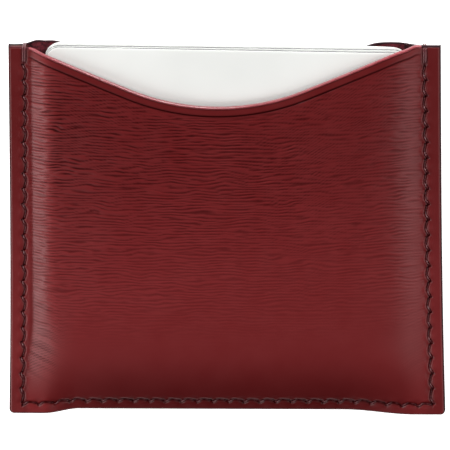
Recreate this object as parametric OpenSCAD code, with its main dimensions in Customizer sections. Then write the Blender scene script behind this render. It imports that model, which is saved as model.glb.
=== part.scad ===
// Slip-in card holder: two stitched leather panels with a thumb throat, holding four blank cards.
// It lies on its back: +X is across, +Y runs out of the mouth, +Z comes out of the front panel.
// The origin is the centre of the flat back face that it rests on.

/* [Holder] */
// Width of the holder across its mouth
mouth_w = 94.8; // [92:0.2:100]
// How much wider the holder is at its bottom corners, in all
bottom_flare = 1.6; // [0:0.2:3]
// Height of the holder from the bottom corners to the mouth corners
holder_h = 84.5; // [84:0.5:90]
// Thickness of each leather panel
leather_t = 1.5; // [1.2:0.1:1.8]
// How far the bulge pulls the middle of the bottom edge inwards
bottom_pull = 0.5; // [0:0.05:1.6]
// Radius of the bottom corners
corner_r = 0.9; // [0.5:0.1:2]
// Height of the front panel's bulge above its seam flange
front_bulge = 2.0; // [1.6:0.1:3]
// Depth of the back panel's bulge below its seam flange
back_bulge = 2.4; // [2.4:0.1:3]

/* [Throat] */
// Depth of the thumb throat in the front panel
front_throat_depth = 13.4; // [8:0.2:20]
// Depth of the thumb throat in the back panel
back_throat_depth = 10.4; // [4:0.2:14]
// Slope of both throats' straight shoulders, in degrees
throat_slope = 22.8; // [15:0.2:30]
// Radius at the bottom of both throats
throat_r = 50; // [20:1:60]
// Radius where a throat's shoulder meets the mouth line
shoulder_r = 10; // [4:1:14]
// Sideways offset of both throats from the middle, as cut
throat_shift = -1.6; // [-3:0.1:3]

/* [Seam] */
// Distance from hole to hole along the seam
stitch_pitch = 3.5; // [3:0.1:4]
// Distance of the side seams from the edge at the mouth
seam_in_top = 3.4; // [3:0.1:3.8]
// Distance of the side seams from the edge at the bottom
seam_in_bottom = 2.6; // [2.4:0.1:3]
// Distance of the bottom seam from the edge
seam_in_base = 2.2; // [2:0.1:2.4]
// Diameter of the sewing thread
thread_d = 0.6; // [0.4:0.05:0.7]
// Diameter of the stitch holes
hole_d = 0.8; // [0.75:0.05:0.9]
// Thickness of the cement between the panels
cement_t = 0.1; // [0.05:0.05:0.2]
// Thickness of the edge paint
coat_t = 0.25; // [0.1:0.05:0.4]

/* [Cards] */
// Width of a card
card_w = 80; // [76:0.5:80]
// Height of a card
card_h = 75; // [60:0.5:75]
// Thickness of a card
card_t = 0.76; // [0.5:0.02:0.8]
// Number of cards, of which the front one lies askew
card_count = 4; // [4:1:4]
// Corner radius of a card
card_r = 3.18; // [2:0.02:5]
// Turn of the rear cards in the pocket, in degrees
stack_turn = -0.6; // [-1:0.1:1]
// Turn of the front card in the pocket, in degrees
front_card_turn = -0.86; // [-1.4:0.01:1.4]

/* [Hidden] */

mouth_y = holder_h / 2;
seam_z = back_bulge + leather_t + cement_t / 2;  // the plane where the panels meet
front_under = seam_z + cement_t / 2;   // inner face of the front panel's flange
front_top = front_under + leather_t;   // outer face of the front panel's flange
back_over = seam_z - cement_t / 2;     // inner face of the back panel's flange
back_base = back_over - leather_t;     // outer face of the back panel's flange
past = 8;                              // how far cutting shapes run beyond the leather

// The pocket's foot, where the outer faces leave the flange, and how far outside it the inner faces do.
foot_x = 43.0;
foot_y = -37.4;
foot_r = 3;
front_grow = -0.3;
back_grow = 0.6;
base_stretch = 1.7;  // the bulge is this much gentler at the bottom than at the sides
// A bulge's section from its foot to its flat: share of its width, share of its height.
front_run = 6.5;
front_section = [[0, 0], [0.09, 0.33], [0.25, 0.63], [0.52, 0.87], [1, 1]];
back_run = 2.3;
back_section = [[0, 0], [0.22, 0.4], [0.52, 0.75], [1, 1]];

card_gap = 0.04;
card_step = card_t + card_gap;
card_floor = leather_t + 0.05;
stack_top = mouth_y - 0.32;       // middle of the rear cards' top edge
next_card_top = mouth_y - 0.58;   // middle of the top edge of the card behind the front one
front_card_top = mouth_y - 0.83;  // middle of the front card's top edge

leather = [0.42, 0.14, 0.16];
paint = [0.20, 0.07, 0.08];
thread = [0.32, 0.07, 0.09];
card_white = [0.93, 0.93, 0.92];

// Half the holder's width at height y: straight at the mouth, flaring towards the bottom corners.
function half_width(y) =
    let (down = min(max((mouth_y - y) / holder_h, 0), 1)) (mouth_w + bottom_flare * pow(down, 3)) / 2;

function smooth(a, b, v) = let (s = min(max((v - a) / (b - a), 0), 1)) s * s * (3 - 2 * s);

// Height of the bottom edge at x: lowest at the corners, pulled up between them by the bulge.
function bottom_edge(x) =
    let (u = abs(x) / half_width(-mouth_y))
    -mouth_y + bottom_pull * (0.75 * (1 - smooth(0.55, 0.86, u)) + 0.25 * (1 - u * u));

// Depth of a throat at x: an arc, a straight shoulder, then a small arc up to the mouth line.
function throat_drop(x, depth) =
    let (u = abs(x - throat_shift),
         arc_x = throat_r * sin(throat_slope),
         arc_drop = depth - throat_r * (1 - cos(throat_slope)),
         meet_x = arc_x + arc_drop / tan(throat_slope),
         fillet = shoulder_r * tan(throat_slope / 2))
    u < arc_x ? depth - throat_r + sqrt(throat_r * throat_r - u * u)
    : u < meet_x - fillet * cos(throat_slope) ? arc_drop - (u - arc_x) * tan(throat_slope)
    : u < meet_x + fillet ? shoulder_r - sqrt(pow(shoulder_r, 2) - pow(meet_x + fillet - u, 2))
    : 0;

function mouth_line(x, depth) = mouth_y - throat_drop(x, depth);

// The outline, drawn in by inset, without its mouth line: down the left, along the bottom, up the right.
SIDE_STEPS = 8;
BASE_STEPS = 24;
function left_side(inset) =
    [for (i = [0 : SIDE_STEPS])
        let (y = mouth_y - i / SIDE_STEPS * (holder_h - corner_r)) [-half_width(y) + inset, y]];
function bottom_corner(inset) =
    let (c = half_width(-mouth_y) - corner_r)
    [for (a = [195 : 15 : 255])
        [-c + (corner_r - inset) * cos(a), -mouth_y + corner_r + (corner_r - inset) * sin(a)]];
function base(inset) =
    let (reach = half_width(-mouth_y) - corner_r)
    [for (i = [0 : BASE_STEPS]) let (x = -reach + 2 * reach * i / BASE_STEPS) [x, bottom_edge(x) + inset]];
function flipped(points) = [for (i = [len(points) - 1 : -1 : 0]) [-points[i][0], points[i][1]]];
function flipped_order(points) = [for (i = [len(points) - 1 : -1 : 0]) points[i]];
function u_outline(inset) =
    concat(left_side(inset), bottom_corner(inset), base(inset), flipped(bottom_corner(inset)),
           flipped(left_side(inset)));

THROAT_STEPS = 48;
function throat_points(depth, lift) =
    [for (i = [0 : THROAT_STEPS])
        let (x = mouth_w * (0.5 - i / THROAT_STEPS)) [x, mouth_line(x, depth) + lift]];

module panel_shape(depth) {
    polygon(concat(u_outline(0), throat_points(depth, 0)));
}

// The seam's hole centres: down the left side, along the bottom and up the right side.
tack_drop = 2.4;  // how far the mouth tacks' own holes are below the mouth
first_drop = tack_drop + 1.6;
side_run = holder_h - first_drop - seam_in_base;
side_count = round(side_run / stitch_pitch);
base_half = half_width(-mouth_y) - seam_in_bottom;
base_count = round(2 * base_half / stitch_pitch);
function seam_x(y) =
    half_width(y) - seam_in_top + (seam_in_top - seam_in_bottom) * (mouth_y - y) / holder_h;
function side_hole(i) =
    let (y = mouth_y - first_drop - side_run * i / side_count) [-seam_x(y), y];
function base_hole(i) =
    let (x = -base_half + 2 * base_half * i / base_count) [x, bottom_edge(x) + seam_in_base];
left_holes = [for (i = [0 : side_count - 1]) side_hole(i)];
holes = concat(left_holes, [for (i = [0 : base_count]) base_hole(i)], flipped(left_holes));
tack_hole = [seam_x(mouth_y - tack_drop), mouth_y - tack_drop];

module stitch_holes() {
    for (p = concat(holes, [tack_hole, [-tack_hole[0], tack_hole[1]]]))
        translate([p[0], p[1], back_base - 1])
            cylinder(d = hole_d, h = front_top - back_base + 2, $fn = 24);
}

// A convex cushion that runs out past the mouth: its section rises from the foot to the flat, along dir.
module cushion(section, run, rise, dir, grow, z) {
    hull()
        for (s = concat([[0, -1 / rise]], section), side = [-1, 1])
            translate([0, 0, z + dir * rise * s[1]]) {
                inset = run * s[0];
                r = foot_r + grow + inset;
                translate([side * (foot_x + grow - inset - r), foot_y - grow + base_stretch * inset + r, 0])
                    cylinder(r = r, h = 0.01, center = true, $fn = 32);
                translate([side * (foot_x + grow - inset - 0.5), mouth_y + past, 0])
                    cube([1, 1, 0.01], center = true);
            }
}

module flange(z) {
    translate([-mouth_w, -holder_h, z]) cube([2 * mouth_w, 2 * holder_h, leather_t]);
}

module front_shell() {
    difference() {
        union() {
            flange(front_under);
            cushion(front_section, front_run, front_bulge, 1, 0, front_top);
        }
        cushion(front_section, front_run, front_bulge, 1, front_grow, front_under);
    }
}

module back_shell() {
    difference() {
        union() {
            flange(back_base);
            cushion(back_section, back_run, back_bulge, -1, 0, back_base);
        }
        cushion(back_section, back_run, back_bulge, -1, back_grow, back_over);
    }
}

module prism() {
    translate([0, 0, -1]) linear_extrude(front_top + front_bulge + 2) children();
}

module front_panel() {
    color(leather)
        difference() {
            intersection() {
                front_shell();
                prism() panel_shape(front_throat_depth);
            }
            stitch_holes();
        }
}

module back_panel() {
    color(leather)
        difference() {
            intersection() {
                back_shell();
                prism() panel_shape(back_throat_depth);
            }
            stitch_holes();
        }
}

// Paint on a panel's cut mouth edge: the next thin slice of the shell beyond the cut.
module throat_band(depth) {
    polygon(concat(throat_points(depth, coat_t), flipped_order(throat_points(depth, 0))));
}

module front_throat_coat() {
    color(paint) intersection() {
        front_shell();
        prism() throat_band(front_throat_depth);
    }
}

module back_throat_coat() {
    color(paint) intersection() {
        back_shell();
        prism() throat_band(back_throat_depth);
    }
}

// Paint round the sides and bottom, over the edges of both panels.
module seam_edge_coat() {
    color(paint) translate([0, 0, back_base]) linear_extrude(front_top - back_base)
        polygon(concat(u_outline(-coat_t), flipped_order(u_outline(0))));
}

module seam_cement() {
    color([0.75, 0.65, 0.45]) difference() {
        translate([0, 0, back_over]) linear_extrude(cement_t) difference() {
            polygon(u_outline(0));
            translate([-foot_x - back_grow, foot_y - back_grow])
                square([2 * (foot_x + back_grow), holder_h]);
        }
        stitch_holes();
    }
}

// Thread: flat-bottomed bars from hole to hole on a flange, with a leg in each hole to the seam plane.
thread_r = thread_d / 2;
bar_z = thread_r * cos(22.5);  // half a bar's height, flat sides up and down
module bar(p, q) {
    run = q - p;
    translate([p[0], p[1], p[2]])
        rotate([0, acos(run[2] / norm(run)), atan2(run[1], run[0])])
            rotate([0, 0, 22.5]) cylinder(r = thread_r, h = norm(run), $fn = 8);
}

module seam_thread(z, towards) {
    for (i = [0 : len(holes) - 2])
        bar([holes[i][0], holes[i][1], z], [holes[i + 1][0], holes[i + 1][1], z]);
    for (h = holes)
        translate([h[0], h[1], min(z, towards)])
            cylinder(r = thread_r, h = abs(z - towards), $fn = 8);
}

module needle_thread() {
    color(thread) seam_thread(front_top + bar_z, seam_z);
}

module bobbin_thread() {
    color(thread) seam_thread(back_base - bar_z, seam_z);
}

// A loop of thread through its own hole and over the mouth's edge.
module mouth_tack(side) {
    x = side * tack_hole[0];
    low = back_base - bar_z;
    high = front_top + bar_z;
    over = mouth_y + coat_t + bar_z;
    corners = [[x, tack_hole[1], high], [x, over, high], [x, over, low], [x, tack_hole[1], low]];
    color(thread) for (i = [0 : 3])
        bar(corners[i], corners[(i + 1) % 4]);
}

module card(i) {
    front = i == card_count;
    turn = front ? front_card_turn : stack_turn;
    top = front ? front_card_top : i == card_count - 1 ? next_card_top : stack_top;
    color(card_white)
        translate([0, top - card_h / 2, card_floor + (i - 1) * card_step]) rotate([0, 0, turn])
            linear_extrude(card_t) union() {
                square([card_w - 2 * card_r, card_h], center = true);
                square([card_w, card_h - 2 * card_r], center = true);
                for (sx = [-1, 1], sy = [-1, 1])
                    translate([sx * (card_w / 2 - card_r), sy * (card_h / 2 - card_r)])
                        circle(r = card_r, $fn = 48);
            }
}

front_panel();
back_panel();
seam_cement();
seam_edge_coat();
front_throat_coat();
back_throat_coat();
needle_thread();
bobbin_thread();
mouth_tack(-1);  // left_mouth_tack
mouth_tack(1);  // right_mouth_tack
card(1);  // card_1
card(2);  // card_2
card(3);  // card_3
card(4);  // card_4
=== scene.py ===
"""Looks of a slip-in card holder: two stitched leather panels, painted edges, stitches and four cards.

The leather is worked out as height fields over the panels' plan, in millimetres, and made into meshes in
metres. +X is across, +Y runs out of the mouth and +Z comes out of the front panel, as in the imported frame.
"""

import math

import bmesh
import bpy
import numpy as np
from mathutils import Matrix, Vector

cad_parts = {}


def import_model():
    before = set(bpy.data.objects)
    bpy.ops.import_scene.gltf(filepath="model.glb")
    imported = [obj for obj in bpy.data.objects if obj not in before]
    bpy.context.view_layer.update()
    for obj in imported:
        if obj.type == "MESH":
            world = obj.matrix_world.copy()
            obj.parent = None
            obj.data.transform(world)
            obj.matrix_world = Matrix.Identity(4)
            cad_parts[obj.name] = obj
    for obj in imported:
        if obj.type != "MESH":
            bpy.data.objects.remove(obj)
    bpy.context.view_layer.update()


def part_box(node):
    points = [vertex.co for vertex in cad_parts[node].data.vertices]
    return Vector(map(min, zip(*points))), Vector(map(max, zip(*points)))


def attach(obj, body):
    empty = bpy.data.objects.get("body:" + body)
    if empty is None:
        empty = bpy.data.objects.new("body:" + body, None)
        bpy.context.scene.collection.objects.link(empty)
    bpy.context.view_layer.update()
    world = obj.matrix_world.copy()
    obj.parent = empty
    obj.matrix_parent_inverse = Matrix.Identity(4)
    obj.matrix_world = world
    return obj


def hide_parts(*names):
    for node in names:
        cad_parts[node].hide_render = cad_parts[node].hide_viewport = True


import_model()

MM = 0.001


def node_box(name):
    """A node's lowest and highest corners, in millimetres."""
    lo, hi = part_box(name)
    return np.array(lo) / MM, np.array(hi) / MM


# ---------------------------------------------------------------- sizes, from the frame and the pattern

PANEL_LO, PANEL_HI = node_box("front_panel")
MOUTH_Y = PANEL_HI[1]
HOLDER_H = PANEL_HI[1] - PANEL_LO[1]
FRONT_UNDER = PANEL_LO[2]          # inner face of the front panel's flange
FRONT_PLATEAU = PANEL_HI[2]        # outer face where the front panel bulges most
BACK_OVER = node_box("back_panel")[1][2]   # inner face of the back panel's flange
MOUTH_HALF = node_box("front_throat_coat")[1][0]
FLARE_HALF = PANEL_HI[0] - MOUTH_HALF

LEATHER_T = 1.5
PAINT_T = 0.2                      # how far the edge paint stands out of a cut edge
FLANGE_FRONT = FRONT_UNDER + LEATHER_T
FLANGE_BACK = BACK_OVER - LEATHER_T
BOTTOM_PULL = 0.5                  # the bottom edge's middle is pulled in this far
CORNER_R = 0.9
FOOT_IN = 4.7                      # from the side edge to where the bulge starts
FOOT_UP = 2.6                      # from the bottom edge to where the bulge starts
PRESS_IN = 1.7                     # from the cut mouth edge to the line pressed along it
FLANGE_PAINT = 4.2                 # how far in from the mouth's ends the duller paint reaches

FRONT_THROAT = 13.4                # how deep the throats are below the mouth
BACK_THROAT = 10.4
THROAT_SLOPE = math.radians(22.8)  # of the straight stretch between a throat's two arcs
THROAT_R = 50.0
SHOULDER_R = 10.0
THROAT_SHIFT = -1.6                # the throats' middle, left of the holder's

STITCH_PITCH = 3.5
SEAM_IN_TOP = 3.4                  # from the side edge to the seam, at the mouth
SEAM_IN_BOTTOM = 2.6               # and at the bottom
SEAM_IN_BASE = 2.2                 # from the bottom edge to the seam
TACK_DROP = 2.4                    # from the mouth down to the tack's hole
FIRST_HOLE = TACK_DROP + 1.6       # from the mouth down to the first side hole
THREAD_R = 0.15
TACK_R = 0.21
TACK_LOW = 3.7                     # how far down the face a tack reaches


# ---------------------------------------------------------------- curves and fields

def smooth(a, b, v):
    """Eased step: 0 before a, 1 after b, 3s^2 - 2s^3 between."""
    s = np.clip((v - a) / (b - a), 0, 1)
    return s * s * (3 - 2 * s)


def noise(x, y, seed):
    """Smooth random field from -1 to 1: a lattice of random values, eased along x and along y."""
    cells = 257
    table = np.random.default_rng(seed).uniform(-1, 1, (cells, cells))
    ix, iy = np.floor(x).astype(int), np.floor(y).astype(int)
    fx, fy = x - ix, y - iy
    fx, fy = fx * fx * (3 - 2 * fx), fy * fy * (3 - 2 * fy)
    left, right, low, high = ix % cells, (ix + 1) % cells, iy % cells, (iy + 1) % cells
    near = table[low, left] * (1 - fx) + table[low, right] * fx
    far = table[high, left] * (1 - fx) + table[high, right] * fx
    return near * (1 - fy) + far * fy


def half_width(y):
    """Half the holder's width: straight at the mouth, flaring with the cube of the way down."""
    return MOUTH_HALF + FLARE_HALF * np.clip((MOUTH_Y - y) / HOLDER_H, 0, 1) ** 3


def between_corners(x):
    """1 along the middle of the bottom, easing to 0 by each corner, faster at the left."""
    return smooth(-40.5, -33.0, x) * smooth(41.5, 26.0, x)


def bottom_edge(x):
    """Height of the bottom edge: pulled up between the corners, with an arc at each corner."""
    into = np.clip(np.abs(x) - (half_width(-MOUTH_Y) - CORNER_R), 0, CORNER_R)
    arc = CORNER_R - np.sqrt(np.maximum(CORNER_R ** 2 - into ** 2, 0))
    return -MOUTH_Y + BOTTOM_PULL * between_corners(x) + arc


def throat_drop(x, depth):
    """Depth of a throat below the mouth: an arc, a straight shoulder, then a small arc to the mouth line."""
    u = np.abs(x - THROAT_SHIFT)
    arc_x = THROAT_R * math.sin(THROAT_SLOPE)
    arc_drop = depth - THROAT_R * (1 - math.cos(THROAT_SLOPE))
    meet_x = arc_x + arc_drop / math.tan(THROAT_SLOPE)
    fillet = SHOULDER_R * math.tan(THROAT_SLOPE / 2)
    arc = depth - THROAT_R + np.sqrt(np.maximum(THROAT_R ** 2 - u ** 2, 0))
    straight = arc_drop - (u - arc_x) * math.tan(THROAT_SLOPE)
    crest = SHOULDER_R - np.sqrt(np.maximum(SHOULDER_R ** 2 - np.maximum(meet_x + fillet - u, 0) ** 2, 0))
    return np.where(u < arc_x, arc, np.where(u < meet_x - fillet * math.cos(THROAT_SLOPE), straight, crest))


def mouth_line(x, side):
    """A panel's mouth edge, a little uneven.

    The front panel's right flange stands higher than its left one. The back panel stands proud where it
    arches away from the tacks and behind the cards' corners, most on the left.
    """
    if side == "front":
        drop = throat_drop(x, FRONT_THROAT)
        proud = 0.38 * smooth(40.0, 42.8, x) - 0.22 * np.exp(-((x - 39.6) / 1.6) ** 2)
        return MOUTH_Y - PAINT_T - drop - 0.1 * smooth(0, 1.5, drop) + proud
    arch = np.where(x < 0, 0.32, 0.2) * np.exp(-((np.abs(x) - 38.4) / 2.8) ** 2)
    split = 0.68 * np.exp(-((x + 41.8) / 1.7) ** 2)
    return MOUTH_Y - PAINT_T - throat_drop(x, BACK_THROAT) + arch + split


# ---------------------------------------------------------------- the seam's holes

# first hole, run and number of stitches on a side; half the run and number of stitches along the bottom
SIDE_TOP = MOUTH_Y - FIRST_HOLE
SIDE_RUN = HOLDER_H - FIRST_HOLE - SEAM_IN_BASE
SIDE_COUNT = round(SIDE_RUN / STITCH_PITCH)
BASE_HALF = PANEL_HI[0] - SEAM_IN_BOTTOM
BASE_COUNT = round(2 * BASE_HALF / STITCH_PITCH)


def seam_x(y):
    """Distance of the side seams from the middle at height y."""
    down = (MOUTH_Y - y) / HOLDER_H
    return half_width(y) - SEAM_IN_TOP + (SEAM_IN_TOP - SEAM_IN_BOTTOM) * down


def seam_y(x):
    """Height of the bottom seam at x."""
    return -MOUTH_Y + BOTTOM_PULL * between_corners(x) + SEAM_IN_BASE


def stray(k):
    """How far the k-th hole of a run strays from its place: a fixed, irregular run of numbers."""
    return 0.11 * np.sin(37.7 * k) + 0.06 * np.sin(11.3 * k + 1)


def seam_holes():
    """Hole centres down the left side, along the bottom and up the right side."""
    side, base = np.arange(SIDE_COUNT), np.arange(BASE_COUNT + 1)
    side_y = SIDE_TOP - SIDE_RUN * side / SIDE_COUNT
    base_x = -BASE_HALF + 2 * BASE_HALF * base / BASE_COUNT
    left = np.stack([-seam_x(side_y) - stray(side), side_y], 1)
    base = np.stack([base_x, seam_y(base_x) + stray(base)], 1)
    return np.concatenate([left, base, left[::-1] * [-1, 1]])


# ---------------------------------------------------------------- the leather's shape

def past_foot(x, y):
    """Distance inside the foot, where the bulge starts; the foot draws near the seam towards the bottom."""
    nearer = np.where(x < 0, 1.3 * smooth(-20, -34, y), 0.7 + 0.6 * smooth(30, -34, y))
    return half_width(y) - np.abs(x) - FOOT_IN + nearer


def bulge_over(inside, x, y):
    """Share of the bulge reached so far inside the foot: a shoulder, then a slow crown.

    The shoulder is 1 - exp(-(inside / run)^1.6) and the crown is an eased step. The shoulder is gentler on
    the right, and gentler still towards the bottom corners.
    """
    inside = np.maximum(inside, 0)
    low = smooth(-16, -36, y)
    run = np.where(x < 0, 2.2 + 1.6 * low, 4.3 + 0.6 * low)
    return 0.7 * (1 - np.exp(-(inside / run) ** 1.6)) + 0.3 * smooth(0, 19, inside)


def faces(x, y):
    """Heights of the front panel's outer face and the back panel's outer face, without grain or stitching.

    Near the sides and corners the seam flange is flat. Between the bottom corners it slopes back, and the
    front face climbs from it along a power curve to the crown while the back face falls along a cubic.
    """
    inside = past_foot(x, y)
    edge = y + MOUTH_Y - BOTTOM_PULL * between_corners(x)
    above = edge - FOOT_UP
    lip = np.maximum(mouth_line(x, "front") - y, 0)
    crown = FRONT_PLATEAU - 0.05 - 0.35 * np.exp(-(lip / 9) ** 2) - 0.25 * smooth(5, -30, y)
    over = bulge_over(inside, x, y)

    corner_run, front_run, back_run = 13, 14.5, 6.4
    corner = 1 - (1 - np.clip(above / corner_run, 0, 1)) ** 2
    front_side = FLANGE_FRONT + (crown - FLANGE_FRONT) * over * corner
    back_side = FLANGE_BACK * (1 - np.minimum(over * 1.12, 1) * corner)

    slope, seam_level, seam_thick = 0.42, 4.65, 3.1
    rise = 1 - (1 - np.clip(above / front_run, 0, 1)) ** 2.3
    front_mid = seam_level + (crown - seam_level) * rise + slope * np.minimum(above, 0)
    u = np.clip(above / back_run, 0, 1)
    fall = (seam_level - seam_thick) * (2 * u ** 3 - 3 * u ** 2 + 1)
    fall = fall + back_run * slope * (u ** 3 - 2 * u ** 2 + u)
    back_mid = fall + slope * np.minimum(above, 0)

    middle = between_corners(x) * smooth(30, 12, edge)
    return front_side + (front_mid - front_side) * middle, back_side + (back_mid - back_side) * middle


def wander(t):
    """How far outwards of the seam a stitch lies a share t of the way along: a slant, then a slow return."""
    return 0.33 - 0.66 * smooth(0.02, 0.44, t) + 0.33 * smooth(0.5, 1, t)


def seam_relief(x, y):
    """The stitches' print: a fine groove under each stitch, deepest at the holes, in a shallow dip.

    Leather is heaped beside it between the holes, and a shallow bed lies under each tack. Each of these is a
    Gaussian of the distance across it.
    """
    relief = np.zeros_like(x)
    down = (SIDE_TOP - y) * SIDE_COUNT / SIDE_RUN
    turned = np.where(x < 0, down - np.floor(down), np.ceil(down) - down)
    on_side = (down > 0) & (down < SIDE_COUNT)
    along = (x + BASE_HALF) * BASE_COUNT / (2 * BASE_HALF)
    on_base = (along > 0) & (along < BASE_COUNT)
    side = (np.abs(x) - seam_x(y), down, turned, on_side)
    base = (seam_y(x) - y, along, along - np.floor(along), on_base)
    for outwards, count, t, there in (side, base):
        near = np.round(count)
        off = outwards - wander(t) - stray(near) * (1 - 2 * np.abs(count - near))
        hole = np.exp(-((count - near) / 0.1) ** 2)
        groove = np.exp(-(off / 0.24) ** 2)
        heap = np.exp(-((np.abs(outwards) - 0.8) / 0.4) ** 2) * -np.cos(2 * np.pi * count)
        dip = np.exp(-(outwards / 0.7) ** 2)
        relief += there * (-(0.42 + 0.35 * hole) * groove - 0.08 * dip + 0.05 * heap)
    bed = np.exp(-((np.abs(x) - seam_x(y)) / 0.5) ** 2) * smooth(SIDE_TOP - 0.1, SIDE_TOP + 0.2, y)
    return relief - 0.24 * bed


def grain(x, y, seed):
    """Boarded grain: wavy ridges along X about 0.75 mm apart, as a height from about -1 to 1.

    Two cosines of Y with unlike pitches, warped by random fields, beat together so that ridges fork and die
    out; a fine stretched field roughens them and a hyperbolic tangent evens their height. They rise a little
    towards the right.
    """
    drift = 0.36 * noise(x / 6, y / 3, seed) + 0.12 * noise(x / 1.7, y / 1.0, seed + 1)
    v = y - 0.018 * smooth(8, 46, x) * (x - 8) + drift
    slip = 0.45 * noise(x / 3.2, y / 1.4, seed + 2)
    narrow, wide = 0.66, 0.86
    first = np.cos(2 * np.pi * v / narrow)
    second = np.cos(2 * np.pi * (v + slip) / wide)
    share = 0.5 + 0.5 * noise(x / 3.4, v / 1.2, seed + 3)
    ridge = first * share + second * (1 - share) + 0.5 * noise(x / 1.5, v / 0.3, seed + 4)
    return np.tanh(1.5 * ridge)


def grain_strength(x, y, side):
    """How deep the grain is: full over the upper and middle leather, gone near seams, throat and foot."""
    lip = mouth_line(x, side) - y
    inside = past_foot(x, y)
    level = smooth(-30, -8, y) * smooth(PRESS_IN, 3.0, lip) * (0.3 + 0.7 * smooth(0.5, 6, inside))
    right = (1 - 0.3 * smooth(0, 40, x) + 0.35 * smooth(-8, -35, x)) * (0.72 + 1.2 * smooth(-14, 18, y))
    patches = 0.9 + 0.2 * noise(x / 9 + 3, y / 7 + 9, 77)
    return level * right * patches * smooth(-1.2, 0.8, inside)


def shoulder_creases(x, y):
    """Short stretch creases across the shoulders, fanning down and steeper towards the bottom corners."""
    inside = past_foot(x, y)
    there = smooth(-0.3, 1.2, inside) * smooth(9.5, 2.5, inside) * smooth(-37, -30, y)
    left = np.where(x < 0, 1 + 0.6 * smooth(-16, -28, y), 0.3)
    fan = y + (0.1 + 0.4 * smooth(-5, -32, y)) * inside + 0.3 * noise(x / 3, y / 3, 91)
    return there * left * (0.5 * noise(x / 5, fan / 0.45, 92) + 0.6 * np.cos(2 * np.pi * fan / 0.66))


def outer_face(x, y, side):
    """A panel's outer face, and the shade painted into it: broad shape, grain, creases, lip and seam print.

    A line is pressed PRESS_IN from the cut edge. Between the two the lip stands a little proud, slopes away
    to the cut and is rounded at its rim. Shade is painted into the grain's and shoulders' creases, the
    pressed line, the stitch print and the hollow at the bulge's foot, with a thin dark line along the cut.
    """
    front, back = faces(x, y)
    cut = mouth_line(x, side)
    tilt = np.cos(np.arctan(np.gradient(cut[0], x[0])))
    lip = (cut - y) * tilt
    rim = np.minimum(half_width(y) - np.abs(x), np.minimum(y - bottom_edge(x), lip))
    rim_r = 0.22
    rounding = rim_r - np.sqrt(np.maximum(rim_r ** 2 - np.clip(rim_r - rim, 0, rim_r) ** 2, 0))
    inner = smooth(FOOT_IN - 1.0, FOOT_IN + 1.5, half_width(y) - np.abs(x))
    bevel = inner * (0.1 * smooth(1.72, 1.45, lip) - 0.13 * smooth(1.5, 0, lip))
    press = inner * np.exp(-((lip - PRESS_IN) / 0.19) ** 2) * (1 - 0.4 * smooth(20, 42, x))
    strength = grain_strength(x, y, side)
    lines = grain(x, y, 11 if side == "front" else 51) * strength
    short = shoulder_creases(x, y) * smooth(PRESS_IN, 3.0, lip)
    print_depth = seam_relief(x, y)
    detail = 0.035 * lines + 0.034 * short - 0.13 * press + bevel + print_depth - rounding
    inside = past_foot(x, y)
    # crook: painted shade in the hollow at the bulge's foot, more on the left, and a thin dark line just
    # inside the cut
    crook = np.where(x < 0, 0.22, 0.06) * np.exp(-((inside + 0.1) / 0.6) ** 2)
    crook = crook + 0.5 * inner * np.exp(-((lip - 0.12) / 0.16) ** 2)
    # Painted shade: the dye is darkened in the creases, the pressed line, the stitch print and the foot's
    # hollow
    crease_shade = 0.32 - 0.08 * strength - 0.36 * lines - 0.36 * short + 0.8 * press - 1.7 * print_depth + crook
    return (front + detail if side == "front" else back - detail), np.clip(crease_shade, 0, 1)


def painted_highlight(x, y):
    """Painted highlight, lightening the dye on the shoulders, far more on the left, over the lower middle
    and at the bottom corners; the leather is left darker towards the top and the bottom edge.
    """
    inside = past_foot(x, y)
    shoulder = np.exp(-((inside - 2.0) / 2.4) ** 2) * np.where(x < 0, 0.8, 0.2)
    up = (y - bottom_edge(x)) / HOLDER_H
    low = 0.1 + smooth(0.03, 0.17, up) * (0.1 + 0.56 * smooth(0.82, 0.22, up))
    corner = 0.4 * smooth(22, 42, np.abs(x)) * smooth(0.25, 0.0, up)
    return np.clip(low + shoulder + corner, 0, 1.2)


def inner_face(x, y, side):
    """A panel's flesh side: a leather's thickness from the broad shape."""
    front, back = faces(x, y)
    wave = 0.03 * noise(x / 2.1, y / 2.3, 63)
    return front - LEATHER_T + wave if side == "front" else back + LEATHER_T - wave


# ---------------------------------------------------------------- meshes

def new_piece(name, points, polygons, materials, groups=None, smooth_angle=50):
    """A mesh object at the origin from points in millimetres, with one material index per polygon."""
    mesh = bpy.data.meshes.new(name)
    mesh.from_pydata((np.asarray(points) * MM).tolist(), [], polygons)
    for material in materials:
        mesh.materials.append(material)
    if groups is not None:
        mesh.polygons.foreach_set("material_index", np.asarray(groups, dtype=np.int32))
    mesh.polygons.foreach_set("use_smooth", np.ones(len(mesh.polygons), dtype=bool))
    mesh.set_sharp_from_angle(angle=math.radians(smooth_angle))
    mesh.update()
    piece = bpy.data.objects.new(name, mesh)
    bpy.context.scene.collection.objects.link(piece)
    return piece


def quads(rows, cols, start=0, wrap=False):
    """Quads over a grid of rows by cols points; wrap joins the last column to the first."""
    r, c = np.meshgrid(np.arange(rows - 1), np.arange(cols if wrap else cols - 1), indexing="ij")
    across = (c + 1) % cols
    corner = [r * cols + c, r * cols + across, (r + 1) * cols + across, (r + 1) * cols + c]
    return (start + np.stack(corner, -1).reshape(-1, 4)).tolist()


def capped(count, ring):
    """Quads along count rings of ring points each, with both ends closed."""
    last = (count - 1) * ring
    return quads(count, ring, wrap=True) + [list(range(ring)), [last + k for k in range(ring)][::-1]]


def mark(piece, label, values):
    """Writes a value at each of a piece's points, for its material to read."""
    piece.data.attributes.new(label, "FLOAT", "POINT").data.foreach_set("value", values.astype(np.float32))


def mirrored(half):
    """Columns from the left edge to the right, from the distances on one side of the middle."""
    return np.concatenate([-half[::-1], half[1:]])


MIDDLE_STEP = 0.8     # how far apart the middle's columns are
MIDDLE_HALF = 36      # how far the middle's columns reach
BAND = 6.8            # the bottom band, where the columns are finer
FINE = 3              # fine columns to each of the middle's
COARSE = 7            # outer columns to each of the flesh face's


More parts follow.
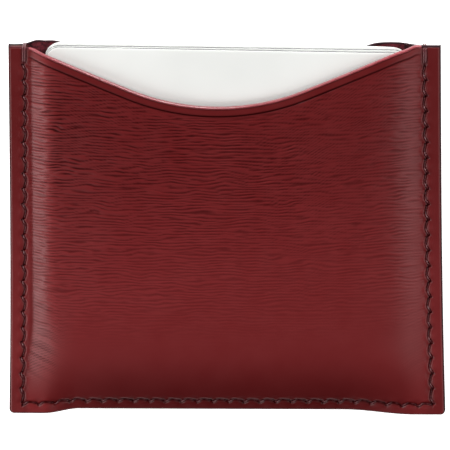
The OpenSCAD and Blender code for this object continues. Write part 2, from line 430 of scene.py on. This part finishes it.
def panel_columns():
    """Column places at the mouth, wide apart over the middle and close together by the seams.

    They are the main face's places, the bottom band's, and where the first are found among the second.
    """
    half = np.concatenate([np.arange(0, MIDDLE_HALF, MIDDLE_STEP),
                           np.arange(MIDDLE_HALF, 40, MIDDLE_STEP / 2),
                           np.linspace(40, 43.2, 11)[:-1],
                           np.linspace(43.2, 45.6, 17)[:-1],
                           np.linspace(45.6, MOUTH_HALF, 9)])
    coarse = mirrored(half)
    middle = np.abs(coarse[:-1] + coarse[1:]) / 2 < MIDDLE_HALF
    pieces = [np.linspace(a, b, (FINE if m else 1) + 1)[:-1] for a, b, m in zip(coarse, coarse[1:], middle)]
    fine = np.append(np.concatenate(pieces), coarse[-1])
    return coarse, fine, np.searchsorted(fine, coarse - 1e-9)


def plan_grid(columns, shares, top, bottom):
    """Plan places: columns by rows, each row a share of the way from top to bottom, widened by the flare."""
    x = np.repeat(columns[None, :], len(shares), 0)
    y = top[None, :] + (bottom - top)[None, :] * shares[:, None]
    return x * (half_width(y) / MOUTH_HALF), y


def every(step, count):
    """Every step-th of count places, and the last."""
    return np.unique(np.append(np.arange(0, count, step), count - 1))


def rim_between(line, picks, partners, turned):
    """Polygons that join a dense border line to its coarse partners, one for each step of the picks."""
    rims = []
    for k in range(len(picks) - 1):
        face = list(line[picks[k]:picks[k + 1] + 1]) + [partners[k + 1], partners[k]]
        rims.append([int(i) for i in (face[::-1] if turned else face)])
    return rims


def panel(name, side, leather, flesh):
    """One leather panel, closed: a dense outer face, a coarse flesh face and rims between their borders.

    The outer face is a grid from the mouth line to a line BAND above the bottom, joined to a band with finer
    columns. Every COARSE-th column and row border point has a partner on the flesh face.
    """
    coarse, fine, shared = panel_columns()
    spread = half_width(-MOUTH_Y) / MOUTH_HALF
    top = mouth_line(coarse, side)
    band_c, band_f = bottom_edge(coarse * spread) + BAND, bottom_edge(fine * spread) + BAND
    rim_rows = [0, 0.0009, 0.002, 0.0034]
    upper = np.concatenate([rim_rows, np.linspace(0.005, 0.82, 393), np.linspace(0.82, 1, 43)[1:]])
    lower = np.concatenate([np.linspace(0, 0.93, 24), [0.955, 0.975, 0.99, 1.0]])
    main_x, main_y = plan_grid(coarse, upper[:-1], top, band_c)
    band_x, band_y = plan_grid(fine, lower, band_f, bottom_edge(fine * spread))
    main_z, main_crease_shade = outer_face(main_x, main_y, side)
    band_z, band_crease_shade = outer_face(band_x, band_y, side)
    main = np.stack([main_x, main_y, main_z], -1)
    band = np.stack([band_x, band_y, band_z], -1)
    rows, cols = main_x.shape
    band_rows, band_cols = band_x.shape
    band_start = rows * cols
    joined = [[(rows - 1) * cols + j, (rows - 1) * cols + j + 1]
              + [band_start + k for k in range(shared[j + 1], shared[j] - 1, -1)] for j in range(cols - 1)]

    picked_cols, picked_rows, low_rows = every(COARSE, cols), every(COARSE, rows), every(6, band_rows)
    picked, low_picked = np.ix_(picked_rows, picked_cols), np.ix_(low_rows, shared[picked_cols])
    flesh_x = np.concatenate([main_x[picked], band_x[low_picked]])
    flesh_y = np.concatenate([main_y[picked], band_y[low_picked]])
    inner = np.stack([flesh_x, flesh_y, inner_face(flesh_x, flesh_y, side)], -1)
    inner_start = band_start + band_rows * band_cols
    in_rows, in_cols = flesh_x.shape

    left = np.concatenate([np.arange(rows) * cols, band_start + np.arange(band_rows) * band_cols])
    right = left + np.repeat([cols - 1, band_cols - 1], [rows, band_rows])
    side_picks = np.concatenate([picked_rows, rows + low_rows])
    mouth = np.arange(cols)
    foot = band_start + (band_rows - 1) * band_cols + np.arange(band_cols)
    in_index = inner_start + np.arange(in_rows * in_cols).reshape(in_rows, in_cols)
    borders = [(mouth, picked_cols, in_index[0], False), (foot, shared[picked_cols], in_index[-1], True),
               (left, side_picks, in_index[:, 0], True), (right, side_picks, in_index[:, -1], False)]
    rims = [face for border in borders for face in rim_between(*border)]

    outer = quads(rows, cols) + joined + quads(band_rows, band_cols, band_start)
    lining = [f[::-1] for f in quads(in_rows, in_cols, inner_start)]
    polygons = [f[::-1] for f in outer + lining] + rims
    if side == "back":
        polygons = [f[::-1] for f in polygons]
    points = np.concatenate([main.reshape(-1, 3), band.reshape(-1, 3), inner.reshape(-1, 3)])
    groups = [0] * len(outer) + [1] * len(lining) + [0] * len(rims)
    piece = new_piece(name, points, polygons, [leather, flesh], groups)
    # Painted crease shade and painted highlight at each point, for the leather's material to read
    crease_shade = np.concatenate([main_crease_shade.ravel(), band_crease_shade.ravel(), np.full(inner.size // 3, 0.3)])
    highlight = np.concatenate([painted_highlight(main_x, main_y).ravel(), painted_highlight(band_x, band_y).ravel(),
                          np.full(inner.size // 3, 0.4)])
    mark(piece, "crease_shade", crease_shade)
    mark(piece, "painted_highlight", highlight)
    return piece


def facing_out(piece):
    """Recalculates a closed piece's normals so that all face outwards."""
    work = bmesh.new()
    work.from_mesh(piece.data)
    bmesh.ops.recalc_face_normals(work, faces=work.faces)
    work.to_mesh(piece.data)
    work.free()
    return piece


def outline():
    """The sides and bottom as one path, down the left and up the right, with its outward normals."""
    y = np.linspace(MOUTH_Y, -MOUTH_Y + CORNER_R, 160)
    left = np.stack([-half_width(y), y], 1)
    reach = half_width(-MOUTH_Y)
    turn = CORNER_R * (1 - np.cos(np.linspace(0, np.pi / 2, 9)))
    x = np.concatenate([-reach + turn[1:-1], np.linspace(-reach + CORNER_R, reach - CORNER_R, 220),
                        (reach - turn[1:-1])[::-1]])
    base = np.stack([x, bottom_edge(x)], 1)
    path = np.concatenate([left, base, left[::-1] * [-1, 1]])
    along = np.gradient(path, axis=0)
    along /= np.linalg.norm(along, axis=1)[:, None]
    return path, np.stack([along[:, 1], -along[:, 0]], 1)


def bead_between(low, high, bulge):
    """Outward steps and heights across a painted edge: a flat dome from the lower face to the upper."""
    t = np.linspace(0, np.pi, 17)
    out = np.asarray(bulge).reshape(-1, 1) * np.sin(t) ** 0.75
    mid, half = (low + high) / 2, (high - low) / 2
    z = mid[:, None] - half[:, None] * np.cos(t)[None, :]
    return np.broadcast_to(out, z.shape), z


def bead(name, path, normals, low, high, bulge, materials, part=None):
    """Edge paint: a domed strip along a path, its back tucked a little way into the leather.

    part tells, for each place on the path, which of the materials starts there. The value worn rises to 1
    towards the holder's two sides, where handling has dulled the paint.
    """
    out, z = bead_between(low, high, bulge)
    tuck = 0.35
    back = np.full((len(path), 2), -tuck)
    inner_z = np.stack([0.75 * high + 0.25 * low, 0.25 * high + 0.75 * low], 1)
    out, z = np.concatenate([out, back], 1), np.concatenate([z, inner_z], 1)
    places = np.concatenate([path[:, None] + out[:, :, None] * normals[:, None], z[:, :, None]], 2)
    count, ring = z.shape
    starts = np.zeros(count, dtype=int) if part is None else part
    groups = np.concatenate([np.repeat(starts[:-1], ring), starts[[0, -1]]])
    piece = facing_out(new_piece(name, places.reshape(-1, 3), capped(count, ring), materials, groups, 60))
    worn = np.maximum(smooth(-33, -40, path[:, 0]), smooth(26, 37, path[:, 0]))
    mark(piece, "worn", np.repeat(worn, ring))
    return piece


def seam_bead(material):
    """Paint round the sides and bottom, over both panels' edges, as one dome."""
    path, normals = outline()
    front, back = faces(path[:, 0], path[:, 1])
    return bead("edge_paint_seam", path, normals, back + 0.16, front - 0.16, PAINT_T, [material])


def throat_bead(name, side, materials):
    """Paint along a panel's cut mouth edge, with materials for its left flange, throat and right flange."""
    x = np.linspace(-MOUTH_HALF, MOUTH_HALF, 420)
    y = mouth_line(x, side)
    slope = np.gradient(y, x)
    normals = np.stack([-slope, np.ones_like(x)], 1) / np.sqrt(1 + slope ** 2)[:, None]
    front, back = faces(x, y)
    fuller = 0.22 if side == "front" else 0
    bulge = PAINT_T + fuller * smooth(MOUTH_HALF - 3.5, MOUTH_HALF - 5.5, np.abs(x))
    high = front - 0.1 if side == "front" else back + LEATHER_T - 0.02
    low = front - LEATHER_T + 0.02 if side == "front" else back + 0.2
    throat_half = MOUTH_HALF - FLANGE_PAINT
    part = np.where(x < -throat_half, 0, np.where(x < throat_half, 1, 2))
    return bead(name, np.stack([x, y], 1), normals, low, high, bulge, materials, part)


def tube(centres, radius, twist_mm, plies, sides=14, closed=False, start_angle=0.0):
    """A laid thread: a tube whose radius swells at each ply, the plies turning once in twist_mm.

    Its radius at angle a and length s is radius * (1 - swell + swell |cos(plies / 2 * lay)|), where lay is
    a - 2 pi s / twist_mm, less the start angle.
    """
    step = np.gradient(centres, axis=0)
    if closed:
        step = np.roll(centres, -1, 0) - np.roll(centres, 1, 0)
    tangent = step / np.linalg.norm(step, axis=1)[:, None]
    up = np.array([0.0, 0.0, 1.0]) if np.abs(tangent[:, 2]).max() < 0.98 else np.array([1.0, 0.0, 0.0])
    side = np.cross(tangent, up)
    side /= np.linalg.norm(side, axis=1)[:, None]
    over = np.cross(side, tangent)
    length = np.concatenate([[0], np.cumsum(np.linalg.norm(np.diff(centres, axis=0), axis=1))])
    angle = np.linspace(0, 2 * np.pi, sides, endpoint=False)
    lay = angle[None, :] - 2 * np.pi * length[:, None] / twist_mm - start_angle
    swell = 0.14
    r = radius * (1 - swell + swell * np.abs(np.cos(plies / 2 * lay)))
    points = centres[:, None] + r[..., None] * (np.cos(angle)[None, :, None] * side[:, None]
                                                + np.sin(angle)[None, :, None] * over[:, None])
    count = len(centres)
    if not closed:
        return points.reshape(-1, 3), capped(count, sides)
    last = (count - 1) * sides
    joint = [[last + k, last + (k + 1) % sides, (k + 1) % sides, k] for k in range(sides)]
    return points.reshape(-1, 3), quads(count, sides, wrap=True) + joint


def joined_piece(name, shells, material):
    """One piece from several closed shells of (points, polygons)."""
    points, polygons, start = [], [], 0
    for shell_points, shell_polygons in shells:
        points.append(shell_points)
        polygons += [[i + start for i in f] for f in shell_polygons]
        start += len(shell_points)
    return facing_out(new_piece(name, np.concatenate(points), polygons, [material], smooth_angle=60))


def stitches(name, side, material):
    """The seam's stitches on one face.

    Each rises out of its hole to the face, slanting across the seam, then lies sunk in its groove as far as
    the next hole.
    """
    holes = seam_holes()
    sign = 1 if side == "front" else -1
    sunk = 0.51
    shells = []
    for k in range(len(holes) - 1):
        a, b = holes[k], holes[k + 1]
        along = (b - a) / np.linalg.norm(b - a)
        t = np.linspace(0, 1, 23)
        plan = a[None] + (b - a)[None] * t[:, None] + wander(t)[:, None] * np.array([[along[1], -along[0]]])
        front, back = faces(plan[:, 0], plan[:, 1])
        level = front if side == "front" else back
        dip = np.exp(-(t / 0.06) ** 2) + np.exp(-((1 - t) / 0.085) ** 2)
        rise = sunk * np.exp(-((t - 0.22) / 0.13) ** 2)
        height = level + sign * (-sunk - 0.25 * dip + rise + 0.03 * math.sin(5.1 * k))
        shells.append(tube(np.column_stack([plan, height]), THREAD_R, 1.5, 2, start_angle=0.7 * k))
    return joined_piece(name, shells, material)


def mouth_tack(name, side_sign, material):
    """Two turns of thread through one hole and over the mouth's edge, side by side."""
    shells = []
    for turn, shift in enumerate((-0.22, 0.22)):
        y_low, y_high = MOUTH_Y - TACK_LOW, MOUTH_Y + 0.12
        x = side_sign * seam_x(np.array(MOUTH_Y - TACK_DROP)) + shift
        middle_z, half_z = (FLANGE_FRONT + FLANGE_BACK) / 2, (FLANGE_FRONT - FLANGE_BACK) / 2 + 0.1
        middle_y, half_y = (y_low + y_high) / 2, (y_high - y_low) / 2
        a = np.linspace(0, 2 * np.pi, 72, endpoint=False)
        squarish = (np.abs(np.cos(a)) ** 5 + np.abs(np.sin(a)) ** 5) ** (-1 / 5)
        centres = np.stack([np.full_like(a, x) + 0.1 * np.sin(a) * side_sign,
                            middle_y + half_y * squarish * np.cos(a),
                            middle_z + half_z * squarish * np.sin(a)], 1)
        shells.append(tube(centres, TACK_R, 1.45, 2, closed=True, start_angle=turn))
    return joined_piece(name, shells, material)


def cement_line(material):
    """Dried cement between the flanges: a thin U-shaped strip that follows both panels' inner faces."""
    path, normals = outline()
    inset = np.linspace(0.15, 4.0, 9)
    x = path[:, None, 0] - normals[:, None, 0] * inset
    y = np.minimum(path[:, None, 1] - normals[:, None, 1] * inset, MOUTH_Y - 0.1)
    front, back = faces(x, y)
    low, high = back + LEATHER_T - 0.02, front - LEATHER_T + 0.02
    joint = (low + high) / 2
    thick = np.clip((high - low) / 2, 0.02, 0.07)
    top = np.stack([x, y, joint + thick], -1)
    under = np.stack([x, y, joint - thick], -1)[:, ::-1]
    ring = np.concatenate([top, under], 1)
    count, size = ring.shape[:2]
    return facing_out(new_piece("seam_cement_line", ring.reshape(-1, 3), capped(count, size), [material]))


CARD_W, CARD_H, CARD_R = 80.0, 75.0, 3.18
STACK_TURN, FRONT_TURN = math.radians(-0.6), math.radians(-0.86)   # how far askew the cards lie


def card_piece(index, turn, face_material, edge_material):
    """A card: a rounded rectangle whose laminated faces roll over gently to a square-cut edge."""
    lo, hi = node_box(f"card_{index}")
    centre, thick = (lo + hi) / 2, hi[2] - lo[2]
    roll = np.linspace(0, np.pi / 2, 7)
    flat_in, roll_in, roll_drop = 1.6, 0.65, 0.1
    inset = np.concatenate([[flat_in], roll_in * (1 - np.sin(roll))])
    drop = np.concatenate([[0], roll_drop * (1 - np.cos(roll))])
    inset, drop = np.concatenate([inset, inset[::-1]]), np.concatenate([drop, thick - drop[::-1]])
    corner = np.linspace(0, np.pi / 2, 17)
    corners = ((1, 1, 0), (-1, 1, np.pi / 2), (-1, -1, np.pi), (1, -1, 1.5 * np.pi))
    rings = []
    for step, fall in zip(inset, drop):
        r = CARD_R - step
        x = np.concatenate([sx * (CARD_W / 2 - CARD_R) + r * np.cos(corner + q) for sx, _, q in corners])
        y = np.concatenate([sy * (CARD_H / 2 - CARD_R) + r * np.sin(corner + q) for _, sy, q in corners])
        rings.append(np.stack([x, y, np.full_like(x, thick / 2 - fall)], 1))
    count, ring = len(rings), len(rings[0])
    x, y, z = np.concatenate(rings).T
    c, s = math.cos(turn), math.sin(turn)
    turned = np.stack([x * c - y * s, x * s + y * c, z], 1)
    steps = np.repeat(np.arange(count - 1), ring)
    groups = list((steps == count // 2 - 1).astype(int)) + [0, 0]
    name, materials = f"blank_card_{index}", [face_material, edge_material]
    return facing_out(new_piece(name, turned + centre, capped(count, ring), materials, groups, 30))


# ---------------------------------------------------------------- materials

DEEP_DYE, HIGHLIGHT_DYE = "#510406", "#731E20"   # the leather's dye at its deepest, and where the painted highlight lightens it most


def linear(hex_colour):
    """An sRGB hex colour as linear red, green, blue and alpha."""
    channels = [int(hex_colour[i:i + 2], 16) / 255 for i in (1, 3, 5)]
    return [c / 12.92 if c <= 0.04045 else ((c + 0.055) / 1.055) ** 2.4 for c in channels] + [1.0]


def add(material, kind, settings=None, stops=(), **links):
    """Adds a node, sets its sockets, properties and colour stops, and links sockets from nodes' outputs.

    A socket goes by its name, or by its number where names repeat: "1" in settings, i1 in links.
    """
    tree = material.node_tree
    node = tree.nodes.new(kind)
    for key, value in (settings or {}).items():
        if key.isdigit():
            node.inputs[int(key)].default_value = value
        elif key in node.inputs:
            node.inputs[key].default_value = value
        else:
            setattr(node, key, value)
    for k, (position, colour) in enumerate(stops):
        node.color_ramp.elements[k].position = position
        node.color_ramp.elements[k].color = linear(colour)
    for key, output in links.items():
        name = key.replace("_", " ")
        socket = node.inputs[int(key[1:])] if key[0] == "i" and key[1:].isdigit() else node.inputs[name]
        tree.links.new(output, socket)
    return node


def new_material(name):
    """An empty node material."""
    material = bpy.data.materials.new(name)
    material.use_nodes = True
    material.node_tree.nodes.clear()
    return material


def finish_material(material, shader):
    """Adds the material's output node and joins a shader to it."""
    output = add(material, "ShaderNodeOutputMaterial")
    material.node_tree.links.new(shader.outputs["BSDF"], output.inputs["Surface"])
    return material


def boarded_calf(name):
    """Chrome-tanned calf, aniline dyed burgundy, boarded and glazed: deep colour, soft gloss and pores.

    Shade is painted into the dye, darker in the grain's creases, the pressed line and the stitch print, and
    highlight is painted lighter on the shoulders, the lower middle and the bottom corners.
    """
    m = new_material(name)
    spot = add(m, "ShaderNodeTexCoord").outputs["Object"]
    mottle = add(m, "ShaderNodeTexNoise", {"Scale": 1 / (5 * MM), "Detail": 4.0, "Roughness": 0.6},
                 Vector=spot)
    pores = add(m, "ShaderNodeTexNoise", {"Scale": 1 / (0.16 * MM), "Detail": 2.0}, Vector=spot)
    # Painted highlight lightens the dye towards the lighter stop; painted crease shade darkens it
    highlight_here = add(m, "ShaderNodeAttribute", {"attribute_name": "painted_highlight"}).outputs["Fac"]
    crease_shade_here = add(m, "ShaderNodeAttribute", {"attribute_name": "crease_shade"}).outputs["Fac"]
    uneven = add(m, "ShaderNodeMath", {"operation": "MULTIPLY_ADD", "1": 0.22},
                 i0=mottle.outputs["Fac"], i2=highlight_here)
    dye = add(m, "ShaderNodeValToRGB", stops=((0.11, DEEP_DYE), (1, HIGHLIGHT_DYE)), Fac=uneven.outputs["Value"])
    # Painted shade: where crease shade is painted in, the dye is multiplied darker, down to #7E7474
    sunk = add(m, "ShaderNodeValToRGB", stops=((0.15, "#FFFFFF"), (1, "#7E7474")), Fac=crease_shade_here)
    mixed = add(m, "ShaderNodeMix", {"data_type": "RGBA", "blend_type": "MULTIPLY", "Factor": 1.0},
                i6=dye.outputs["Color"], i7=sunk.outputs["Color"])
    rough = add(m, "ShaderNodeMapRange", {"To Min": 0.32, "To Max": 0.44}, Value=mottle.outputs["Fac"])
    bump = add(m, "ShaderNodeBump", {"Strength": 0.25, "Distance": 0.02 * MM}, Height=pores.outputs["Fac"])
    glaze = add(m, "ShaderNodeMapRange", {"From Min": 0.2, "To Min": 0.42, "To Max": 0.08}, Value=crease_shade_here)
    shader = add(m, "ShaderNodeBsdfPrincipled", {"IOR": 1.45}, Base_Color=mixed.outputs[2],
                 Roughness=rough.outputs["Result"], Normal=bump.outputs["Normal"],
                 Specular_IOR_Level=glaze.outputs["Result"])
    return finish_material(m, shader)


def flesh_side(name):
    """The same hide's flesh side, buffed and unfinished: matt, napped and unevenly dark."""
    m = new_material(name)
    spot = add(m, "ShaderNodeTexCoord").outputs["Object"]
    nap = add(m, "ShaderNodeTexNoise", {"Scale": 1 / (0.9 * MM), "Detail": 5.0, "Roughness": 0.7},
              Vector=spot)
    fibre = add(m, "ShaderNodeTexNoise", {"Scale": 1 / (0.25 * MM), "Detail": 2.0}, Vector=spot)
    dye = add(m, "ShaderNodeValToRGB", stops=((0.38, "#1A0306"), (0.62, "#64202A")), Fac=nap.outputs["Fac"])
    bump = add(m, "ShaderNodeBump", {"Strength": 0.8, "Distance": 0.08 * MM}, Height=fibre.outputs["Fac"])
    shader = add(m, "ShaderNodeBsdfPrincipled",
                 {"Roughness": 0.9, "Specular IOR Level": 0.15, "Sheen Weight": 0.08},
                 Base_Color=dye.outputs["Color"], Normal=bump.outputs["Normal"])
    return finish_material(m, shader)


def edge_paint(name, low, high, coat, shine):
    """Acrylic edge paint in several sanded coats: slight unevenness under a gloss that is dulled where worn.

    coat is the clear film's weight and shine the gloss under it.
    """
    m = new_material(name)
    spot = add(m, "ShaderNodeTexCoord").outputs["Object"]
    waves = add(m, "ShaderNodeTexNoise", {"Scale": 1 / (1.6 * MM), "Detail": 3.0}, Vector=spot)
    colour = add(m, "ShaderNodeValToRGB", stops=((0.3, low), (0.7, high)), Fac=waves.outputs["Fac"])
    worn = add(m, "ShaderNodeAttribute", {"attribute_name": "worn"}).outputs["Fac"]
    gloss = add(m, "ShaderNodeMapRange", {"To Min": shine, "To Max": 0.3 * shine}, Value=worn)
    film = add(m, "ShaderNodeMapRange", {"To Min": coat, "To Max": 0.3 * coat}, Value=worn)
    rough = add(m, "ShaderNodeMapRange", {"To Min": 0.5 - 0.5 * shine, "To Max": 0.7 - 0.6 * shine},
                Value=waves.outputs["Fac"])
    bump = add(m, "ShaderNodeBump", {"Strength": 0.3, "Distance": 0.05 * MM}, Height=waves.outputs["Fac"])
    shader = add(m, "ShaderNodeBsdfPrincipled", {"Coat Roughness": 0.2}, Base_Color=colour.outputs["Color"],
                 Roughness=rough.outputs["Result"], Normal=bump.outputs["Normal"],
                 Specular_IOR_Level=gloss.outputs["Result"], Coat_Weight=film.outputs["Result"])
    return finish_material(m, shader)


def waxed_thread(name):
    """Two-ply bonded polyester thread, waxed: dark, a little shiny along each ply."""
    m = new_material(name)
    spot = add(m, "ShaderNodeTexCoord").outputs["Object"]
    fibre = add(m, "ShaderNodeTexNoise", {"Scale": 1 / (0.2 * MM), "Detail": 3.0}, Vector=spot)
    colour = add(m, "ShaderNodeValToRGB", stops=((0.3, "#3A0C10"), (0.75, "#66242A")),
                 Fac=fibre.outputs["Fac"])
    bump = add(m, "ShaderNodeBump", {"Strength": 0.4, "Distance": 0.03 * MM}, Height=fibre.outputs["Fac"])
    shader = add(m, "ShaderNodeBsdfPrincipled", {"Roughness": 0.42, "Specular IOR Level": 0.55},
                 Base_Color=colour.outputs["Color"], Normal=bump.outputs["Normal"])
    return finish_material(m, shader)


def laminated_pvc(name):
    """PVC card stock under a pressed clear film: near-white, glossy, with the film's faint orange peel."""
    m = new_material(name)
    spot = add(m, "ShaderNodeTexCoord").outputs["Object"]
    peel = add(m, "ShaderNodeTexNoise", {"Scale": 1 / (1.2 * MM), "Detail": 1.0}, Vector=spot)
    cloud = add(m, "ShaderNodeTexNoise", {"Scale": 1 / (18 * MM), "Detail": 2.0}, Vector=spot)
    colour = add(m, "ShaderNodeValToRGB", stops=((0.3, "#D9DAD7"), (0.7, "#DFE0DD")),
                 Fac=cloud.outputs["Fac"])
    bump = add(m, "ShaderNodeBump", {"Strength": 0.06, "Distance": 0.02 * MM}, Height=peel.outputs["Fac"])
    shader = add(m, "ShaderNodeBsdfPrincipled", {"Roughness": 0.16, "IOR": 1.5},
                 Base_Color=colour.outputs["Color"], Normal=bump.outputs["Normal"])
    return finish_material(m, shader)


def die_cut_core(name, low, high):
    """The core of a card where the die has cut it: matt and faintly scored."""
    m = new_material(name)
    spot = add(m, "ShaderNodeTexCoord").outputs["Object"]
    score = add(m, "ShaderNodeTexNoise", {"Scale": 1 / (0.5 * MM), "Detail": 2.0}, Vector=spot)
    colour = add(m, "ShaderNodeValToRGB", stops=((0.3, low), (0.7, high)), Fac=score.outputs["Fac"])
    shader = add(m, "ShaderNodeBsdfPrincipled", {"Roughness": 0.6}, Base_Color=colour.outputs["Color"])
    return finish_material(m, shader)


def dried_cement(name):
    """Contact cement, dried to a thin amber rubber film."""
    m = new_material(name)
    spot = add(m, "ShaderNodeTexCoord").outputs["Object"]
    blot = add(m, "ShaderNodeTexNoise", {"Scale": 1 / (1.5 * MM), "Detail": 3.0}, Vector=spot)
    colour = add(m, "ShaderNodeValToRGB", stops=((0.3, "#5A3A2C"), (0.7, "#7C5B40")),
                 Fac=blot.outputs["Fac"])
    shader = add(m, "ShaderNodeBsdfPrincipled", {"Roughness": 0.6}, Base_Color=colour.outputs["Color"])
    return finish_material(m, shader)


def studio_sweep(name):
    """A matt white paper sweep."""
    m = new_material(name)
    shader = add(m, "ShaderNodeBsdfPrincipled", {"Base Color": linear("#F4F4F3"), "Roughness": 1.0,
                                                 "Emission Color": linear("#FFFFFF"),
                                                 "Emission Strength": 0.8})
    return finish_material(m, shader)


# ---------------------------------------------------------------- the object

def place(piece, body, slot, *nodes):
    """Rides a piece on its body and lets it stand for its CAD nodes."""
    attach(piece, body)
    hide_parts(*nodes)


calf, flesh = boarded_calf("boarded_calf"), flesh_side("calf_flesh_side")
seam_paint = edge_paint("dark_edge_paint", "#14070A", "#2A1016", 0.0, 0.08)
# One paint on the front panel's mouth edge, drawn in copies: lighter along the throat, partly a painted
# highlight, and darker and duller on the left flange, painted shade; the right flange takes the dark seam
# paint
flange_paint = edge_paint("dull_burgundy_edge_paint", "#3A1216", "#5A2226", 0.0, 0.16)
throat_paint_painted_highlight = edge_paint("burgundy_edge_paint", "#7A2F35", "#8A3A40", 1.0, 0.55)
thread = waxed_thread("waxed_polyester_thread")
cement = dried_cement("dried_contact_cement")
card_face = laminated_pvc("laminated_card_face")
white_core = die_cut_core("white_card_core", "#BDBDBA", "#CBCBC8")
# Painted shade: the two front cards' near-black cores stand for the shade in the joints between the cards
joint_shade_core = die_cut_core("card_core_painted_joint_shade", "#26272B", "#34353A")

# Left flange, throat and right flange: one edge paint in darker and lighter copies, painted shade and painted
# highlight
front_coats = [flange_paint, throat_paint_painted_highlight, seam_paint]
holder_pieces = (
    (panel("leather_front", "front", calf, flesh), "front_leather", "front_panel"),
    (panel("leather_back", "back", calf, flesh), "back_leather", "back_panel"),
    (seam_bead(seam_paint), "edge_paint", "seam_edge_coat"),
    (throat_bead("edge_paint_front_throat", "front", front_coats), "edge_paint", "front_throat_coat"),
    (throat_bead("edge_paint_back_throat", "back", [seam_paint] * 3), "edge_paint", "back_throat_coat"),
    (stitches("stitches_front", "front", thread), "thread", "needle_thread"),
    (stitches("stitches_back", "back", thread), "thread", "bobbin_thread"),
    (mouth_tack("tack_left", -1, thread), "thread", "left_mouth_tack"),
    (mouth_tack("tack_right", 1, thread), "thread", "right_mouth_tack"),
    (cement_line(cement), "cement", "seam_cement"),
)
for piece, slot, node in holder_pieces:
    place(piece, "holder", slot, node)
for number, body in enumerate(("first_card", "second_card", "third_card", "fourth_card"), 1):
    turn = FRONT_TURN if number == 4 else STACK_TURN
    # The two front cards take the near-black core, painted joint shade
    core = white_core if number < 3 else joint_shade_core
    place(card_piece(number, turn, card_face, core), body, "card", f"card_{number}")


# ---------------------------------------------------------------- studio

def floor(half_mm=800):
    """The sweep that the holder lies on."""
    corners = [[x * half_mm, y * half_mm, 0] for x, y in ((-1, -1), (1, -1), (1, 1), (-1, 1))]
    piece = new_piece("floor", corners, [[0, 1, 2, 3]], [studio_sweep("matt_white_paper")])


def softbox(name, place_mm, aim_mm, width_mm, height_mm, watts):
    """A rectangular softbox at a place, turned to face an aim."""
    light = bpy.data.lights.new(name, "AREA")
    light.shape = "RECTANGLE"
    light.size, light.size_y = width_mm * MM, height_mm * MM
    light.energy = watts
    lamp = bpy.data.objects.new(name, light)
    bpy.context.scene.collection.objects.link(lamp)
    direction = Vector(aim_mm) - Vector(place_mm)
    lamp.location = Vector(place_mm) * MM
    lamp.rotation_euler = direction.to_track_quat("-Z", "Y").to_euler()


SENSOR_MM = 36.0


def camera(tilt_deg, yaw_deg, roll_deg, distance_mm, frame_mm, centre_mm):
    """A long-lens camera, tilted towards the mouth from square on, whose frame is frame_mm wide."""
    data = bpy.data.cameras.new("camera")
    data.sensor_width = SENSOR_MM
    data.lens = SENSOR_MM * distance_mm / frame_mm
    data.clip_end = 20
    cam = bpy.data.objects.new("camera", data)
    bpy.context.scene.collection.objects.link(cam)
    tilt, yaw = math.radians(tilt_deg), math.radians(yaw_deg)
    back = Vector((math.sin(yaw) * math.cos(tilt), math.sin(tilt), math.cos(yaw) * math.cos(tilt)))
    right = Vector((0, 1, 0)).cross(back).normalized()
    up = back.cross(right)
    turn = Matrix((right, up, back)).transposed() @ Matrix.Rotation(math.radians(roll_deg), 3, "Z")
    cam.matrix_world = Matrix.Translation((Vector(centre_mm) + back * distance_mm) * MM) @ turn.to_4x4()
    bpy.context.scene.camera = cam


def world(strength):
    """A dim, even studio."""
    w = bpy.data.worlds.new("studio")
    w.use_nodes = True
    w.node_tree.nodes["Background"].inputs["Color"].default_value = (1, 1, 1, 1)
    w.node_tree.nodes["Background"].inputs["Strength"].default_value = strength
    bpy.context.scene.world = w


floor()
softbox("strip_over_mouth", (140, 480, 170), (0, 0, 0), 500, 80, 1.3)
softbox("rake_over_mouth", (90, 250, 60), (0, 20, 0), 300, 40, 0.55)
softbox("upper_left", (-350, 300, 350), (0, 0, 0), 200, 200, 1.9)
softbox("left_box", (-380, -170, 300), (0, 0, 0), 160, 420, 1.4)
softbox("right_box", (350, -90, 360), (0, 0, 0), 220, 460, 0.95)
softbox("foot_left", (-130, -190, 190), (0, -20, 0), 100, 100, 0.04)
world(0.04)
camera(17.0, 2.2, -0.45, 3000, 99.5, (-0.35, -0.18, 0))
bpy.context.scene.view_settings.view_transform = "Standard"
